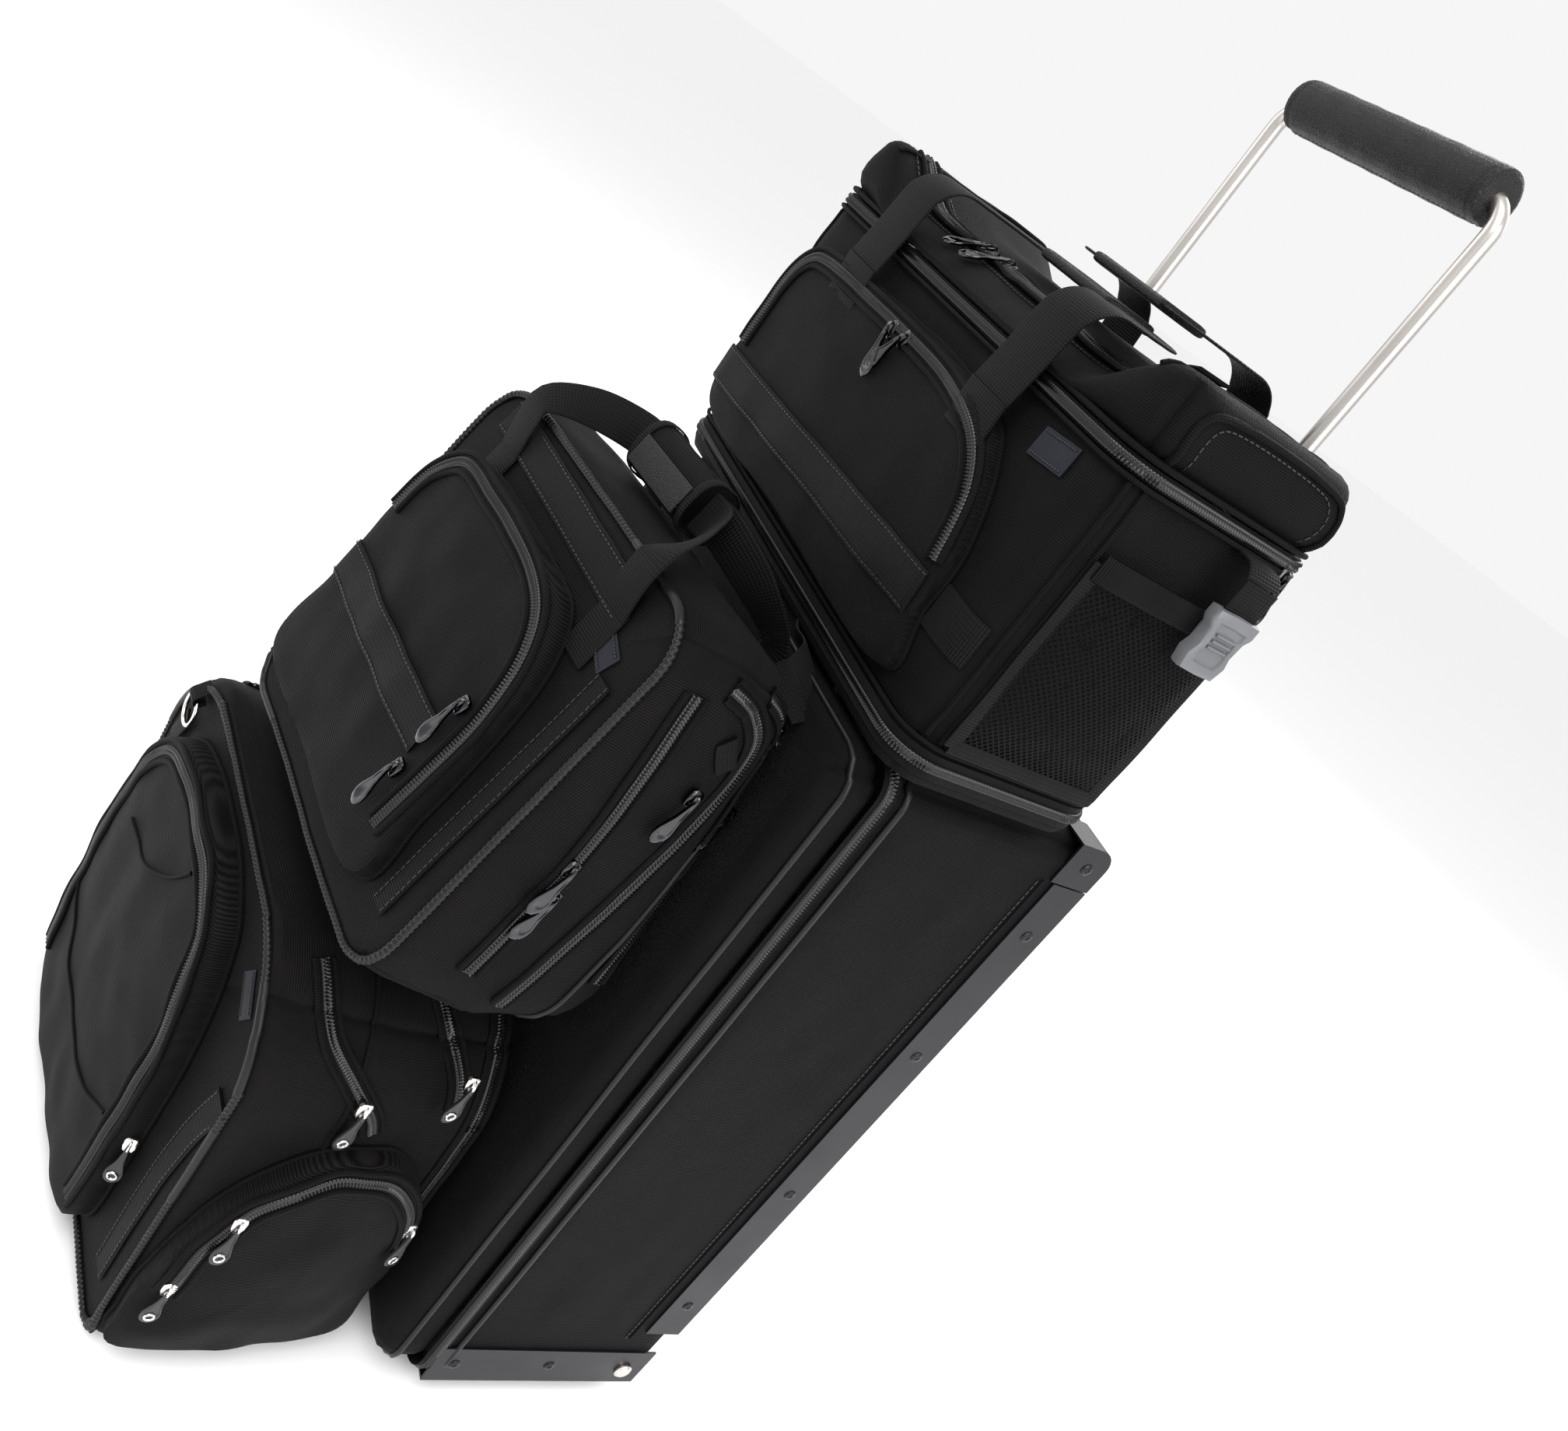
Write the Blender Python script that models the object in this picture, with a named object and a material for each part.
"""Flight crew bag set: a wheeled case with a pull handle, a cooler tote riding on top of it,
and a brief bag and a backpack strapped to its front.

Metres, +Z up.  The case's back is towards +Y and the bags' fronts face -Y.
Each bag is built in its own frame, held by an empty, and the empties hang on one stack empty.
"""
import math

import bmesh
import bpy
from mathutils import Vector

GAP = 0.0003                      # clearance between pieces that touch
FLOOR_GAP = 0.018                 # the wheels hold the case this far off the floor
CENTRE = (0.00227, 0.20772)            # puts the middle of the whole set on the origin

# Wheeled case.
CASE_W = 0.356
CASE_D = 0.168
CASE_H = 0.540
WALL = 0.003
COVER_D = 0.0395
SHEET = 0.0015                    # folded steel of the channels, brackets and rails
ROD_X = 0.0952
ROD_Y = -0.0110
ROD_R = 0.005
ROD_BEND = 0.018
ROD_LOW = 0.400
GRIP_Z = 0.929
GRIP_HALF = 0.0848
GRIP_R = 0.0158
TUBE_R = 0.0075
WHEEL_X = 0.140
WHEEL_Y = -0.019
WHEEL_Z = 0.014
WHEEL_R = 0.032
WHEEL_W = 0.018
HUB_R = 0.020
AXLE_R = 0.004
WELL = 0.056
WELL_HALF = WHEEL_W / 2 + 0.0095

# Cooler tote.
TOTE_X = (-0.188, 0.184)
TOTE_Y = (-0.189, -0.045)
TOTE_BASE = (0.5415, 0.5660)
TOTE_TUB = (0.5663, 0.7280)
TOTE_RIM = (0.7283, 0.7360)
TOTE_R = 0.022
TOTE_WALL = 0.005
WEB_W = 0.025
WEB_T = 0.0016
HANDLE_W = 0.038

# Brief bag, in its own leaning frame: origin at the middle of the front panel.
BRIEF_AT = (0.0173, -0.3475, 0.432)
BRIEF_TURN = (math.radians(-14.8), math.radians(-3.0), math.radians(7.0))
BRIEF_W = 0.280
BRIEF_H = 0.252
BRIEF_D_TOP = 0.090
BRIEF_D_LOW = 0.148

# Backpack, in its own turned frame: origin at the middle of the front panel's lower edge.
PACK_AT = (-0.0065, -0.3925, -0.018)
PACK_TURN = (0.0, 0.0, math.radians(6.6))
PACK_W = 0.328
PACK_D = 0.163
PACK_FRONT_H = 0.309
PACK_BACK_H = 0.284

# Zip pulls.
PULL_L = 0.030
PULL_T = 0.0024


def clear_scene():
    for item in list(bpy.data.objects):
        bpy.data.objects.remove(item, do_unlink=True)


def material(name, colour, roughness, metallic=0.0):
    mat = bpy.data.materials.new(name)
    mat.use_nodes = True
    shader = mat.node_tree.nodes["Principled BSDF"]
    shader.inputs["Base Color"].default_value = (*colour, 1.0)
    shader.inputs["Roughness"].default_value = roughness
    shader.inputs["Metallic"].default_value = metallic
    return mat


def empty(name, parent=None, at=(0, 0, 0), turn=(0, 0, 0)):
    holder = bpy.data.objects.new(name, None)
    bpy.context.collection.objects.link(holder)
    holder.parent = parent
    holder.location = at
    holder.rotation_euler = turn
    return holder


def piece(name, mesh, look, parent, at=(0, 0, 0), bevel=0.0, steps=2):
    """One named sub-part; the mesh is in metres about the point `at` in the parent's frame."""
    mesh.materials.clear()
    mesh.materials.append(look)
    body = bpy.data.objects.new(name, mesh)
    bpy.context.collection.objects.link(body)
    body.parent = parent
    body.location = at
    mesh.shade_smooth()
    mesh.set_sharp_from_angle(angle=math.radians(40))
    if bevel:
        soften(body, bevel, steps)
    return body


def soften(body, width, steps):
    edge = body.modifiers.new("edge", "BEVEL")
    edge.width = width
    edge.segments = steps
    edge.limit_method = "ANGLE"
    edge.angle_limit = math.radians(40)


def finish(shape, name):
    bmesh.ops.recalc_face_normals(shape, faces=shape.faces)
    mesh = bpy.data.meshes.new(name)
    shape.to_mesh(mesh)
    shape.free()
    return mesh


def add_box(shape, low, high):
    corners = [(x, y, z) for x in (low[0], high[0]) for y in (low[1], high[1]) for z in (low[2], high[2])]
    verts = [shape.verts.new(corner) for corner in corners]
    for quad in ((0, 1, 3, 2), (4, 6, 7, 5), (0, 4, 5, 1), (2, 3, 7, 6), (0, 2, 6, 4), (1, 5, 7, 3)):
        shape.faces.new([verts[i] for i in quad])


def boxes(name, *pairs):
    shape = bmesh.new()
    for low, high in pairs:
        add_box(shape, low, high)
    return finish(shape, name)


def add_loft(shape, rings):
    """A closed solid through rings that hold the same number of points."""
    rows = [[shape.verts.new(point) for point in ring] for ring in rings]
    count = len(rows[0])
    for low, high in zip(rows, rows[1:]):
        for i in range(count):
            j = (i + 1) % count
            shape.faces.new((low[i], low[j], high[j], high[i]))
    shape.faces.new(list(reversed(rows[0])))
    shape.faces.new(rows[-1])


def loft(name, rings):
    shape = bmesh.new()
    add_loft(shape, rings)
    return finish(shape, name)


def add_rod(shape, start, end, radius, sides=16):
    start = Vector(start)
    end = Vector(end)
    axis = (end - start).normalized()
    side = axis.orthogonal().normalized()
    other = axis.cross(side)
    spokes = [side * math.cos(a) + other * math.sin(a) for a in turns(sides)]
    add_loft(shape, [[centre + spoke * radius for spoke in spokes] for centre in (start, end)])


def turns(count):
    return [2 * math.pi * i / count for i in range(count)]


def rod(name, start, end, radius, sides=16):
    shape = bmesh.new()
    add_rod(shape, start, end, radius, sides)
    return finish(shape, name)


def lathe_x(name, profile, sides=32):
    """Turn a closed loop of (x, radius) points about the X axis."""
    shape = bmesh.new()
    rows = []
    for angle in turns(sides):
        row = [shape.verts.new((x, r * math.cos(angle), r * math.sin(angle))) for x, r in profile]
        rows.append(row)
    count = len(profile)
    for i, row in enumerate(rows):
        following = rows[(i + 1) % sides]
        for j in range(count):
            k = (j + 1) % count
            shape.faces.new((row[j], following[j], following[k], row[k]))
    return finish(shape, name)


def outline(x_span, y_span, radius, steps=4, grow=0.0):
    """A rounded rectangle, anticlockwise, grown outwards by `grow`."""
    x0, x1 = x_span[0] - grow, x_span[1] + grow
    y0, y1 = y_span[0] - grow, y_span[1] + grow
    r = max(radius + grow, 0.001)
    points = []
    corners = ((x1 - r, y1 - r, 0), (x0 + r, y1 - r, 90), (x0 + r, y0 + r, 180), (x1 - r, y0 + r, 270))
    for cx, cy, first in corners:
        for i in range(steps + 1):
            angle = math.radians(first + 90 * i / steps)
            points.append((cx + r * math.cos(angle), cy + r * math.sin(angle)))
    return points


def level(points, z):
    return [(x, y, z) for x, y in points]


def front_plate(name, outline_xz, layers):
    """A panel on a bag's front: the outline shrinks layer by layer towards -Y, by (y, scale)."""
    middle_x = sum(p[0] for p in outline_xz) / len(outline_xz)
    middle_z = sum(p[1] for p in outline_xz) / len(outline_xz)
    rings = []
    for y, scale in layers:
        ring = [(middle_x + (x - middle_x) * scale, y, middle_z + (z - middle_z) * scale)
                for x, z in outline_xz]
        rings.append(ring)
    return loft(name, rings)


def smooth_outline(corners, steps=3):
    """Round a rough outline by cutting its corners twice (closed loop)."""
    points = [Vector(corner) for corner in corners]
    for _ in range(steps - 1):
        cut = []
        for i, point in enumerate(points):
            following = points[(i + 1) % len(points)]
            cut += [point.lerp(following, 0.25), point.lerp(following, 0.75)]
        points = cut
    return [tuple(point) for point in points]


def web(name, path, normals, width=WEB_W, thick=WEB_T):
    """A flat webbing strap swept along a path; normals say which way its face looks."""
    rings = []
    count = len(path)
    points = [Vector(point) for point in path]
    for i, point in enumerate(points):
        along = (points[min(i + 1, count - 1)] - points[max(i - 1, 0)]).normalized()
        face = Vector(normals[i])
        face = (face - along * face.dot(along)).normalized()
        across = face.cross(along).normalized()
        half = across * width / 2
        deep = face * thick / 2
        rings.append([point - half - deep, point + half - deep, point + half + deep, point - half + deep])
    return loft(name, rings)


def tube(name, path, radius, sides=8, closed=False):
    """A round cord or piping of even thickness along a path."""
    points = [Vector(point) for point in path]
    count = len(points)
    rings = []
    frame = None
    for i, point in enumerate(points):
        if closed:
            along = (points[(i + 1) % count] - points[i - 1]).normalized()
        else:
            along = (points[min(i + 1, count - 1)] - points[max(i - 1, 0)]).normalized()
        if frame is None:
            frame = along.orthogonal().normalized()
        frame = (frame - along * frame.dot(along)).normalized()
        other = along.cross(frame)
        rings.append([point + (frame * math.cos(a) + other * math.sin(a)) * radius for a in turns(sides)])
    shape = bmesh.new()
    if not closed:
        add_loft(shape, rings)
        return finish(shape, name)
    rows = [[shape.verts.new(point) for point in ring] for ring in rings]
    for i, row in enumerate(rows):
        following = rows[(i + 1) % count]
        for j in range(sides):
            k = (j + 1) % sides
            shape.faces.new((row[j], row[k], following[k], following[j]))
    return finish(shape, name)


def cut(target, cutter_mesh, bevel=0.0):
    """Take the cutter's volume away from the target."""
    tool = bpy.data.objects.new(target.name + "_cutter", cutter_mesh)
    bpy.context.collection.objects.link(tool)
    tool.parent = target.parent
    tool.hide_render = True
    tool.display_type = "WIRE"
    if bevel:
        soften(tool, bevel, 3)
    carve = target.modifiers.new("carve", "BOOLEAN")
    carve.solver = "EXACT"
    carve.object = tool


# ------------------------------------------------------------------ zip pulls

def zip_pulls(bag, look, places):
    """Each pull is its own node with its origin on its hinge.

    places: (name, the hinge's place, outward direction, hanging direction).
    """
    for name, at, out, down in places:
        out = Vector(out).normalized()
        down = Vector(down)
        down = (down - out * down.dot(out)).normalized()
        piece(name, pull_plate(name, out, down, down.cross(out)), look, bag, at)


def pull_plate(name, out, down, across):
    """A flat teardrop tab, narrow at the pivot and round at the end."""
    rows = ((-0.0011, 0.0018), (0.004, 0.0024), (0.010, 0.0036), (0.018, 0.0050),
            (0.024, 0.0052), (0.028, 0.0040), (PULL_L, 0.0018))
    rings = []
    for along, half in rows:
        centre = down * along
        rings.append([centre - across * half - out * PULL_T / 2, centre + across * half - out * PULL_T / 2,
                      centre + across * half + out * PULL_T / 2, centre - across * half + out * PULL_T / 2])
    return loft(name, rings)


# ------------------------------------------------------------------ wheeled case

def build_case(stack, looks):
    case = empty("case_frame", stack)
    half = CASE_W / 2
    rings = []
    for y, inset in ((0.0, 0.012), (-0.0035, 0.0035), (-0.012, 0.0), (-CASE_D, 0.0), (-CASE_D, WALL),
                     (-0.013, WALL), (-0.0065, 0.0065), (-WALL, 0.013)):
        ring_xz = outline((inset - half, half - inset), (inset, CASE_H - inset), 0.016 - inset)
        rings.append([(x, y, z) for x, z in ring_xz])
    shell = piece("case_shell", loft("case_shell", rings), looks["nylon"], case)
    for side in (-1, 1):
        cut(shell, upright(side, TUBE_R + GAP, CASE_H - 0.021, CASE_H + 0.02))
        reach = WELL_HALF + 0.0005
        well = ((side * WHEEL_X - reach, -WELL - 0.0005, -0.02), (side * WHEEL_X + reach, 0.02, WELL + 0.0005))
        cut(shell, boxes("case_well", well))
        cut(shell, axle_hole(side))
    cover(case, looks)
    for label, side in (("right", 1), ("left", -1)):
        channel(label, side, case, looks)
        corner_bracket(label, side, case, looks)
        bottom_rail(label, side, case, looks)
        foot(label, side, case, looks)
        housing(label, side, case, looks)
        wheel(label, side, case, looks)
        axle(label, side, case, looks)
        guide(label, side, case, looks)
    pull_handle(case, looks)


def upright(side, radius, low, high):
    """A vertical cylinder on one of the two rod axes."""
    return rod("upright", (side * ROD_X, ROD_Y, low), (side * ROD_X, ROD_Y, high), radius, 32)


def axle_hole(side):
    return rod("axle_hole", (side * 0.100, WHEEL_Y, WHEEL_Z), (side * 0.200, WHEEL_Y, WHEEL_Z), AXLE_R + 0.0003, 32)


def cover(case, looks):
    """The padded front of the case."""
    half = CASE_W / 2 - 0.002
    face = -CASE_D - GAP
    rings = []
    for y, inset in ((face, 0.0), (face - 0.020, 0.0), (face - 0.033, 0.006), (face - COVER_D, 0.022)):
        ring_xz = outline((-half + inset, half - inset), (0.002 + inset, CASE_H - 0.002 - inset), 0.018)
        rings.append([(x, y, z) for x, z in ring_xz])
    piece("case_cover", loft("case_cover", rings), looks["nylon"], case)


def channel(label, side, case, looks):
    """Steel angle folded round the case's back edge."""
    inner, skin, toe = angle_lines(side, 0.028)
    back = GAP + SHEET
    section = [(skin, -0.026), (skin, back), (toe, back), (toe, GAP), (inner, GAP), (inner, -0.026)]
    mesh = loft(f"channel_{label}", [level(section, 0.058), level(section, 0.5105)])
    piece(f"channel_{label}", mesh, looks["black_steel"], case)


def angle_lines(side, toe):
    """Where a folded sheet lies on one side: its inner face, outer face and toe."""
    outer = CASE_W / 2 + GAP
    return side * outer, side * (outer + SHEET), side * (outer - toe)


def corner_bracket(label, side, case, looks):
    """A formed plate over the upper back corner: side, back and top in one piece."""
    skin = side * (CASE_W / 2 + GAP + SHEET)
    toe = side * (CASE_W / 2 - 0.024)
    shell = corner_profile(-0.030, 0.5115, GAP + SHEET, CASE_H + GAP + SHEET, 0.013)
    inside = corner_profile(-0.060, 0.4900, GAP, CASE_H + GAP, 0.012)
    mesh = loft(f"corner_bracket_{label}", [[(x, y, z) for y, z in shell] for x in (skin, toe)])
    plate = piece(f"corner_bracket_{label}", mesh, looks["black_steel"], case)
    reach = (side * (CASE_W / 2 + GAP), side * (CASE_W / 2 - 0.060))
    cut(plate, loft("bracket_inside", [[(x, y - 0.0001, z) for y, z in inside] for x in reach]))


def corner_profile(front, low, back, top, radius):
    """The side view of the upper back corner, rounded where back meets top."""
    arc = [(back - radius + radius * math.cos(math.radians(a)), top - radius + radius * math.sin(math.radians(a)))
           for a in range(0, 91, 15)]
    return [(back, low)] + arc + [(front, top), (front, low)]


def bottom_rail(label, side, case, looks):
    """A folded strip along the lower side edge of the case."""
    inner, skin, toe = angle_lines(side, 0.012)
    under = -GAP - SHEET
    section = [(inner, 0.034), (skin, 0.034), (skin, under), (toe, under), (toe, -GAP), (inner, -GAP)]
    mesh = loft(f"bottom_rail_{label}", [[(x, y, z) for x, z in section] for y in (-CASE_D, -0.002)])
    rail = piece(f"bottom_rail_{label}", mesh, looks["black_steel"], case)
    cut(rail, axle_hole(side))


def foot(label, side, case, looks):
    """A block under the case's front edge, level with the bottom of the wheels."""
    block = ((side * 0.130 - 0.020, -0.160, -FLOOR_GAP), (side * 0.130 + 0.020, -0.138, -GAP))
    piece(f"foot_{label}", boxes(f"foot_{label}", block), looks["rubber"], case, bevel=0.001)


def wheel(label, side, case, looks):
    """Tyre and hub turn about the axle, on their own empty."""
    spin = empty(f"wheel_spin_{label}", case, (side * WHEEL_X, WHEEL_Y, WHEEL_Z))
    half = WHEEL_W / 2
    seat = HUB_R + GAP
    tyre = [(-half, seat), (-half, WHEEL_R - 0.004), (-half + 0.003, WHEEL_R - 0.0008), (0, WHEEL_R),
            (half - 0.003, WHEEL_R - 0.0008), (half, WHEEL_R - 0.004), (half, seat)]
    piece(f"tyre_{label}", lathe_x(f"tyre_{label}", tyre), looks["rubber"], spin)
    bore = AXLE_R + 0.00008
    hub = [(-half - 0.001, bore), (-half - 0.001, 0.008), (-half + 0.002, 0.009), (-half + 0.002, HUB_R),
           (half - 0.002, HUB_R), (half - 0.002, 0.009), (half + 0.001, 0.008), (half + 0.001, bore)]
    piece(f"hub_{label}", lathe_x(f"hub_{label}", hub), looks["grey_plastic"], spin)


def axle(label, side, case, looks):
    """A bolt through the rail, the case's wall and the wheel housing; its head is outside."""
    skin = CASE_W / 2 + 2 * GAP + SHEET
    profile = [(WHEEL_X - WELL_HALF + 0.001, 0.0), (WHEEL_X - WELL_HALF + 0.001, AXLE_R), (skin, AXLE_R),
               (skin, 0.0065), (skin + 0.0016, 0.0065), (skin + 0.0028, 0.0050), (skin + 0.0028, 0.0)]
    mesh = lathe_x(f"axle_{label}", [(side * x, max(r, 0.00001)) for x, r in profile])
    piece(f"axle_{label}", mesh, looks["steel"], case, (0, WHEEL_Y, WHEEL_Z))


def housing(label, side, case, looks):
    """A moulded wheel well in the lower back corner, open to the back and below."""
    x = side * WHEEL_X
    block = ((x - WELL_HALF, -WELL, GAP), (x + WELL_HALF, -GAP, WELL))
    body = piece(f"wheel_housing_{label}", boxes(f"wheel_housing_{label}", block), looks["black_plastic"], case)
    inside = WELL_HALF - 0.0065
    cut(body, boxes("well", ((x - inside, -WELL + 0.003, -0.02), (x + inside, 0.02, WELL - 0.003))))
    cut(body, axle_hole(side))


def guide(label, side, case, looks):
    """The tube that a handle rod runs in, and the collar round it on top of the case."""
    tube_body = piece(f"guide_tube_{label}", upright(side, TUBE_R, 0.020, CASE_H - 0.0005), looks["steel"], case)
    cut(tube_body, upright(side, ROD_R + 0.0001, 0.0, CASE_H + 0.01))
    collar = piece(f"rod_collar_{label}", upright(side, 0.0105, CASE_H + GAP, CASE_H + 0.005),
                   looks["black_plastic"], case)
    cut(collar, upright(side, ROD_R + 0.0001, CASE_H - 0.01, CASE_H + 0.02))


def pull_handle(case, looks):
    """The U-shaped telescoping handle and the fabric wrap on its crossbar."""
    path = [(-ROD_X, 0, ROD_LOW - GRIP_Z)]
    for side, first in ((-1, 180), (1, 90)):
        centre = side * (ROD_X - ROD_BEND)
        for i in range(7):
            angle = math.radians(first - 15 * i)
            path.append((centre + ROD_BEND * math.cos(angle), 0, ROD_BEND * (math.sin(angle) - 1)))
    path.append((ROD_X, 0, ROD_LOW - GRIP_Z))
    slide = empty("handle_slide", case, (0, ROD_Y, GRIP_Z))
    piece("pull_handle", tube("pull_handle", path, ROD_R, 24), looks["steel"], slide)
    bore = 0.0076
    roll = [(-GRIP_HALF, bore), (-GRIP_HALF, GRIP_R - 0.002), (-GRIP_HALF + 0.002, GRIP_R),
            (GRIP_HALF - 0.002, GRIP_R), (GRIP_HALF, GRIP_R - 0.002), (GRIP_HALF, bore)]
    piece("grip_wrap", lathe_x("grip_wrap", roll, 32), looks["nylon"], slide)


# ------------------------------------------------------------------ cooler tote

def build_tote(stack, looks):
    tote = empty("tote_frame", stack)
    base = outline(TOTE_X, TOTE_Y, TOTE_R)
    wide = outline(TOTE_X, TOTE_Y, TOTE_R, grow=0.0015)
    piece("tote_base", loft("tote_base", [level(base, TOTE_BASE[0]), level(wide, TOTE_BASE[0] + 0.010),
                                          level(wide, TOTE_BASE[1])]), looks["nylon"], tote)
    inner = outline(TOTE_X, TOTE_Y, TOTE_R, grow=-TOTE_WALL)
    tub = [level(base, TOTE_TUB[0]), level(base, TOTE_TUB[1]), level(inner, TOTE_TUB[1]),
           level(inner, TOTE_TUB[0] + TOTE_WALL)]
    piece("tote_tub", loft("tote_tub", tub), looks["nylon"], tote)
    ring_out = outline(TOTE_X, TOTE_Y, TOTE_R, grow=0.0022)
    ring_in = outline(TOTE_X, TOTE_Y, TOTE_R, grow=-0.0040)
    piece("tote_rim", ring("tote_rim", ring_out, ring_in, *TOTE_RIM), looks["zip"], tote)
    lid(tote, looks)
    tote_pockets(tote, looks)
    tote_handles(tote, looks)
    tote_buckle(tote, looks)
    front = TOTE_Y[0]
    zip_pulls(tote, looks["dark_metal"], (
        ("tote_pull_pocket", (-0.020, front - 0.0180, 0.6980), (0, -1, 0), (0.25, 0, -1)),
        ("tote_pull_rim", (TOTE_X[1] + 0.0056, -0.064, 0.7240), (1, 0, 0), (0, 0, -1)),
    ))


def ring(name, outside, inside, low, high):
    """A flat band between two outlines."""
    shape = bmesh.new()
    rows = [[shape.verts.new(point) for point in row]
            for row in (level(outside, low), level(outside, high), level(inside, high), level(inside, low))]
    count = len(outside)
    for i, row in enumerate(rows):
        following = rows[(i + 1) % 4]
        for j in range(count):
            k = (j + 1) % count
            shape.faces.new((row[j], row[k], following[k], following[j]))
    return finish(shape, name)


LID_HINGE = (0.0005, TOTE_Y[1] - 0.0005, TOTE_RIM[1] + 0.0006)
LID_LOW = 0.7363
LID_TOP = 0.7785
LID_SLOPE = ((0.0, 0.7440), (0.20, 0.7570), (0.50, 0.7650), (0.85, 0.7640), (1.0, 0.7560))
LID_ZIP_Y = -0.160


def lid_height(x, y):
    """The lid slopes up from its front edge; it is dished in the middle and raised at both ends."""
    across = (y - TOTE_Y[0]) / (TOTE_Y[1] - TOTE_Y[0])
    along = abs(2 * (x - TOTE_X[0]) / (TOTE_X[1] - TOTE_X[0]) - 1)
    middle = LID_SLOPE[-1][1]
    for (a, low), (b, high) in zip(LID_SLOPE, LID_SLOPE[1:]):
        if across <= b:
            middle = low + (high - low) * max(across - a, 0.0) / (b - a)
            break
    t = min(max((along - 0.60) / 0.30, 0.0), 1.0)
    return middle + (LID_TOP - middle) * t * t * (3 - 2 * t)


def lid_outline(inset):
    """The tote's outline with more points along its straight edges."""
    corners = outline(TOTE_X, TOTE_Y, TOTE_R, grow=-inset)
    points = []
    for i, (x, y) in enumerate(corners):
        points.append((x, y))
        if i % 5 < 4:
            continue
        next_x, next_y = corners[(i + 1) % len(corners)]
        extra = 11 if abs(next_x - x) > abs(next_y - y) else 5
        for k in range(1, extra + 1):
            t = k / (extra + 1)
            points.append((x + (next_x - x) * t, y + (next_y - y) * t))
    return points


def lid(tote, looks):
    """The padded lid turns about its back edge; its own parts sit on the same empty."""
    hinge = empty("lid_hinge", tote, LID_HINGE)
    rings = []
    for share, inset in ((0.0, 0.0008), (0.25, -0.0035), (0.75, -0.001), (1.0, 0.006), (1.0, 0.020), (1.0, 0.038)):
        ring = [(x, y, LID_LOW + share * (lid_height(x, y) - LID_LOW))
                for x, y in lid_outline(inset)]
        rings.append(ring)
    rings.append(level(lid_outline(0.056), 0.7655))
    rings = [[(x - LID_HINGE[0], y - LID_HINGE[1], z - LID_HINGE[2]) for x, y, z in ring] for ring in rings]
    piece("tote_lid", loft("tote_lid", rings), looks["nylon"], hinge)
    y = LID_ZIP_Y - LID_HINGE[1]
    top = lid_height(0, LID_ZIP_Y) + 0.0052 - LID_HINGE[2]
    zip_pulls(hinge, looks["dark_metal"], (
        ("lid_pull_a", (-0.053, y, top), (0, -0.41, 0.91), (-0.12, -0.91, -0.41)),
        ("lid_pull_b", (-0.030, y, top), (0, -0.41, 0.91), (-0.20, -0.91, -0.41)),
    ))


def tote_pockets(tote, looks):
    front = TOTE_Y[0] - GAP
    arch = smooth_outline(((-0.168, 0.574), (0.136, 0.574), (0.138, 0.650), (0.098, 0.705), (0.030, 0.712),
                           (-0.100, 0.706), (-0.150, 0.700), (-0.168, 0.650)))
    layers = ((front, 1.0), (front - 0.007, 1.0), (front - 0.011, 0.95), (front - 0.0125, 0.85))
    piece("tote_front_pocket", front_plate("tote_front_pocket", arch, layers), looks["nylon"], tote)
    side = TOTE_X[1] + GAP
    body = piece("tote_mesh_pocket", boxes("tote_mesh_pocket", ((side, -0.168, 0.572), (side + 0.014, -0.066, 0.690))),
                 looks["mesh"], tote)
    cut(body, boxes("mesh_pocket_hollow", ((side - 0.002, -0.165, 0.575), (side + 0.012, -0.069, 0.710))))


def tote_handles(tote, looks):
    """Two carry handles of webbing arching over the lid; the back one folds down between the rods."""
    for label, leg_x, face_y, towards, reach, height in (("front", 0.087, TOTE_Y[0], 1, 0.069, 0.777),
                                                         ("back", 0.064, TOTE_Y[1], -1, 0.044, 0.792)):
        pivot = (0, face_y - towards * 0.0150, 0.7120)
        hinge = empty(f"tote_handle_{label}_hinge", tote, pivot)
        path, normals = handle_route(leg_x, face_y, towards, reach, height, pivot)
        strap = web(f"tote_handle_{label}", path, normals, HANDLE_W)
        piece(f"tote_handle_{label}", strap, looks["webbing"], hinge)
        if label == "front":
            grip_patch(face_y + towards * reach, height, pivot, hinge, looks)


def handle_route(leg_x, face_y, towards, reach, height, pivot):
    """Half of the loop, then its mirror image: up the face, over the edge, round to the grip."""
    outward = -towards
    bend = min(0.022, (reach + 0.0085) / 2)
    half = [((leg_x, face_y + outward * 0.0150, 0.7130), (0, outward, 0)),
            ((leg_x, face_y + outward * 0.0110, 0.7380), (0, outward, 0))]
    start = face_y + outward * 0.0085
    for i in range(1, 5):
        angle = math.radians(90 * i / 4)
        point = (leg_x, start + towards * bend * (1 - math.cos(angle)), height - bend * (1 - math.sin(angle)))
        half.append((point, (0, outward * math.cos(angle), math.sin(angle))))
    turn = min(0.050, reach + 0.0085 - bend)
    level_y = face_y + towards * reach
    for i in range(0, 6):
        angle = math.radians(90 * i / 5)
        point = (leg_x - turn * (1 - math.cos(angle)), level_y - towards * turn * (1 - math.sin(angle)), height)
        half.append((point, (0, 0, 1)))
    whole = half + [((-x, y, z), normal) for (x, y, z), normal in reversed(half)]
    path = [(x - pivot[0], y - pivot[1], z - pivot[2]) for (x, y, z), _ in whole]
    return path, [normal for _, normal in whole]


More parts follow.
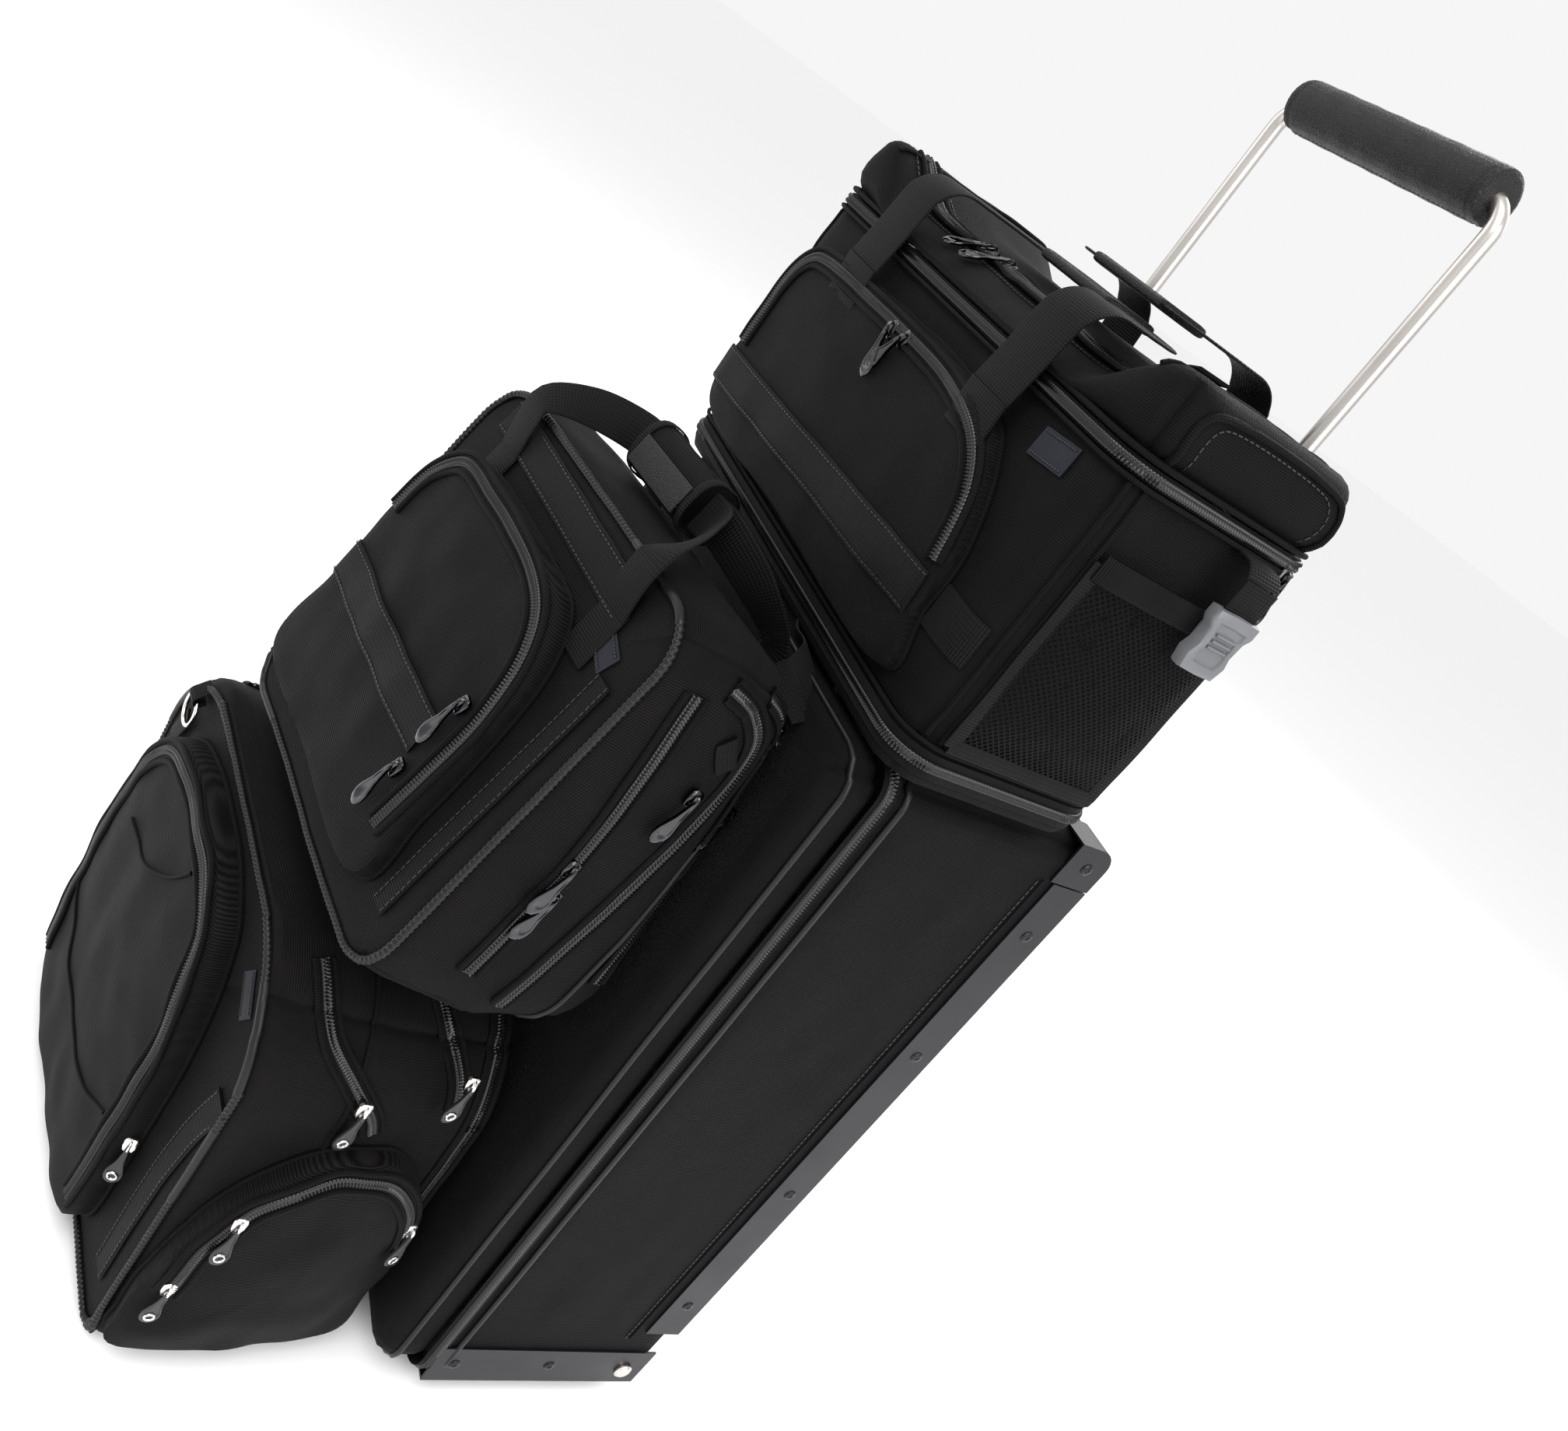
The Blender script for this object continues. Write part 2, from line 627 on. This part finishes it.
def grip_patch(y, z, pivot, hinge, looks):
    """A leather sleeve folded round the middle of the front handle."""
    y, z = y - pivot[1], z - pivot[2]
    deep, thick = HANDLE_W / 2 + GAP, WEB_T / 2 + GAP
    loop = [(y - deep - 0.0015, z - thick - 0.0015), (y + deep + 0.0015, z - thick - 0.0015),
            (y + deep + 0.0015, z + thick + 0.0015), (y - deep - 0.0015, z + thick + 0.0015)]
    sleeve = piece("tote_grip_patch", loft("tote_grip_patch", [[(x, a, b) for a, b in loop] for x in (-0.036, 0.036)]),
                   looks["leather"], hinge)
    cut(sleeve, boxes("grip_patch_bore", ((-0.06, y - deep, z - thick), (0.06, y + deep, z + thick))))


def tote_buckle(tote, looks):
    """A side-release buckle hanging on a short web from the lid edge."""
    x = TOTE_X[1] + 0.0203
    hinge = empty("buckle_hinge", tote, (x, -0.092, 0.7180))
    strap = boxes("buckle_strap", ((-0.0008, -0.0125, -0.016), (0.0008, 0.0125, 0.0)))
    piece("buckle_strap", strap, looks["webbing"], hinge)
    frame = [(-0.016, -0.017), (-0.013, -0.052), (0.013, -0.052), (0.016, -0.017)]
    buckle = loft("side_buckle", [[(x0, y, z) for y, z in frame] for x0 in (-0.005, 0.005)])
    piece("side_buckle", buckle, looks["grey_plastic"], hinge, bevel=0.0015)


# ------------------------------------------------------------------ brief bag

def build_brief(stack, looks):
    brief = empty("brief_frame", stack, BRIEF_AT, BRIEF_TURN)
    half, low, high = BRIEF_W / 2, -BRIEF_H / 2, BRIEF_H / 2
    rings = []
    for share, grow, lift in ((0.0, -0.001, 0.0), (0.12, 0.004, 0.0), (0.5, 0.009, 0.004), (0.88, 0.004, 0.014),
                              (1.0, -0.010, 0.026)):
        ring_points = []
        for x, z in outline((-half, half), (low, high), 0.030, grow=grow):
            ring_points.append((x, share * brief_depth(z), z + lift * (0.5 - z / BRIEF_H)))
        rings.append(ring_points)
    piece("brief_body", loft("brief_body", rings), looks["nylon"], brief)
    edge = [(x, -0.0024, z) for x, z in outline((-half, half), (low, high), 0.030, steps=5, grow=-0.001)]
    piece("brief_piping", tube("brief_piping", edge, 0.0022, 8, closed=True), looks["piping"], brief)
    arch = smooth_outline(((-0.118, -0.100), (0.088, -0.100), (0.092, 0.020), (0.066, 0.080), (-0.080, 0.082),
                           (-0.118, 0.050)))
    layers = ((-GAP, 1.0), (-0.009, 1.0), (-0.014, 0.94), (-0.016, 0.84))
    piece("brief_front_pocket", front_plate("brief_front_pocket", arch, layers), looks["nylon"], brief)
    brief_handles(brief, looks)
    side = half + 0.0125
    zip_pulls(brief, looks["dark_metal"], (
        ("brief_pull_front_a", (0.070, -0.0215, 0.0060), (0, -1, 0), (-0.1, 0, -1)),
        ("brief_pull_front_b", (0.066, -0.0215, -0.0430), (0, -1, 0), (-0.1, 0, -1)),
        ("brief_pull_side_a", (side, 0.040, -0.010), (1, 0, 0), (0, -0.1, -1)),
        ("brief_pull_side_b", (side, 0.066, 0.055), (1, 0, 0), (0, -0.1, -1)),
    ))


WRAP_Y = 0.038


def brief_depth(z):
    """The bag is deeper at its base than at its top."""
    return BRIEF_D_LOW + (BRIEF_D_TOP - BRIEF_D_LOW) * (z / BRIEF_H + 0.5)


def brief_handles(brief, looks):
    """Two web loops sewn to the front and back, held together by a hook-and-loop wrap."""
    top = BRIEF_H / 2
    rise = 0.030
    reach = 0.052
    skin = 2 * GAP + WEB_T / 2
    for label, outward in (("front", -1), ("back", 1)):
        path, normals = [], []
        meet = WRAP_Y + outward * 0.004
        for x, z, share in ((0.085, top - 0.030, 0.0), (0.085, top - 0.010, 0.0), (0.085, top + 0.006, 0.0),
                            (0.074, top + rise * 0.7, 0.5), (reach, top + rise, 1.0)):
            over_piping = 0.0048 if z > top - 0.020 else 0.0
            face = -skin - over_piping if outward < 0 else brief_depth(z) + skin + 0.0014
            path.append((x, face + (meet - face) * share, z))
            normals.append((0, outward, 0.0))
        path += [(-x, y, z) for x, y, z in reversed(path)]
        normals += list(reversed(normals))
        piece(f"brief_handle_{label}", web(f"brief_handle_{label}", path, normals), looks["webbing"], brief)
    wrap = outline((WRAP_Y - 0.0145, WRAP_Y + 0.0145), (top + rise - 0.0175, top + rise + 0.0175), 0.007)
    hole = outline((WRAP_Y - 0.0085, WRAP_Y + 0.0085), (top + rise - 0.0140, top + rise + 0.0140), 0.003)
    rows = [[(x, y, z) for y, z in loop] for loop, x in ((wrap, -0.036), (wrap, 0.036), (hole, 0.036), (hole, -0.036))]
    shape = bmesh.new()
    rings = [[shape.verts.new(point) for point in row] for row in rows]
    count = len(wrap)
    for i, row in enumerate(rings):
        following = rings[(i + 1) % 4]
        for j in range(count):
            k = (j + 1) % count
            shape.faces.new((row[j], row[k], following[k], following[j]))
    piece("brief_handle_wrap", finish(shape, "brief_handle_wrap"), looks["leather"], brief)


# ------------------------------------------------------------------ backpack

def build_pack(stack, looks):
    pack = empty("pack_frame", stack, PACK_AT, PACK_TURN)
    half = PACK_W / 2
    rings = []
    for share, grow in ((0.0, -0.006), (0.08, 0.0), (0.5, 0.004), (0.93, 0.0), (1.0, -0.008)):
        height = PACK_FRONT_H + (PACK_BACK_H - PACK_FRONT_H) * share
        loop = arch_outline(half + grow, -min(grow, 0.0), height + min(grow, 0.0), 0.085)
        rings.append([(x, share * PACK_D, z) for x, z in loop])
    piece("pack_body", loft("pack_body", rings), looks["nylon"], pack)
    edge = [(x, -0.0024, z) for x, z in arch_outline(half - 0.006, 0.010, PACK_FRONT_H - 0.012, 0.080)]
    piece("pack_piping", tube("pack_piping", edge, 0.0022, 8, closed=True), looks["piping"], pack)
    drop = smooth_outline(((0.020, 0.014), (0.092, 0.030), (0.104, 0.150), (0.080, 0.262), (0.000, 0.282),
                           (-0.090, 0.268), (-0.128, 0.180), (-0.122, 0.040), (-0.080, 0.014)))
    layers = ((-GAP, 1.0), (-0.013, 0.99), (-0.021, 0.90), (-0.025, 0.74))
    piece("pack_front_pocket", front_plate("pack_front_pocket", drop, layers), looks["nylon"], pack)
    for label, side in (("right", 1), ("left", -1)):
        pack_side_pocket(label, side, pack, looks)
    ring_at = (-0.118, -0.0070, 0.268)
    loop = [(ring_at[0] + 0.011 * math.cos(a), ring_at[1], ring_at[2] + 0.011 * math.sin(a)) for a in turns(16)]
    piece("pack_dring", tube("pack_dring", loop, 0.0016, 8, closed=True), looks["dark_metal"], pack)
    side = half + 0.0090
    zip_pulls(pack, looks["black_plastic"], (
        ("pack_pull_front_a", (0.1085, -0.0110, 0.118), (1, -0.5, 0), (0, 0, -1)),
        ("pack_pull_side_a", (side, 0.066, 0.236), (1, 0, 0), (0, -0.1, -1)),
        ("pack_pull_side_b", (side, 0.120, 0.262), (1, 0, 0), (0, -0.1, -1)),
        ("pack_pull_side_c", (side - 0.0035, 0.1545, 0.112), (1, 0, 0), (0, 0, -1)),
    ))


def arch_outline(half, low, high, radius, steps=6):
    """Square below and arched above, anticlockwise in x and z."""
    foot = 0.014
    points = []
    for cx, cz, r, first in ((half - radius, high - radius, radius, 0), (radius - half, high - radius, radius, 90),
                             (foot - half, low + foot, foot, 180), (half - foot, low + foot, foot, 270)):
        for i in range(steps + 1):
            angle = math.radians(first + 90 * i / steps)
            points.append((cx + r * math.cos(angle), cz + r * math.sin(angle)))
    return points


def pack_side_pocket(label, side, pack, looks):
    """A pocket that bulges from the lower side, under an arched zip."""
    flank = PACK_W / 2 + 0.0043
    rough = smooth_outline(((0.004, 0.004), (0.148, 0.004), (0.150, 0.140), (0.110, 0.204), (0.046, 0.194),
                            (0.004, 0.110)))
    middle = (0.077, 0.096)
    rings = []
    for x, scale in ((flank, 1.0), (flank + 0.012, 0.99), (flank + 0.021, 0.88), (flank + 0.026, 0.66)):
        rings.append([(side * x, middle[0] + (y - middle[0]) * scale, middle[1] + (z - middle[1]) * scale)
                      for y, z in rough])
    piece(f"pack_side_pocket_{label}", loft(f"pack_side_pocket_{label}", rings), looks["nylon"], pack)


def make_looks():
    return {
        "nylon": material("nylon", (0.022, 0.021, 0.023), 0.72),
        "webbing": material("webbing", (0.020, 0.020, 0.021), 0.78),
        "mesh": material("mesh", (0.020, 0.020, 0.021), 0.80),
        "leather": material("leather", (0.025, 0.024, 0.024), 0.55),
        "piping": material("piping", (0.045, 0.047, 0.052), 0.45),
        "zip": material("zip", (0.020, 0.020, 0.021), 0.50),
        "rubber": material("rubber", (0.022, 0.022, 0.023), 0.70),
        "black_plastic": material("black_plastic", (0.020, 0.020, 0.021), 0.40),
        "grey_plastic": material("grey_plastic", (0.180, 0.185, 0.190), 0.42),
        "black_steel": material("black_steel", (0.030, 0.030, 0.033), 0.35, 0.7),
        "dark_metal": material("dark_metal", (0.060, 0.060, 0.065), 0.18, 0.9),
        "steel": material("steel", (0.600, 0.600, 0.610), 0.22, 1.0),
    }


def main():
    clear_scene()
    looks = make_looks()
    stack = empty("stack", None, (*CENTRE, FLOOR_GAP))
    build_case(stack, looks)
    build_tote(stack, looks)
    build_brief(stack, looks)
    build_pack(stack, looks)
    bpy.context.view_layer.update()


main()
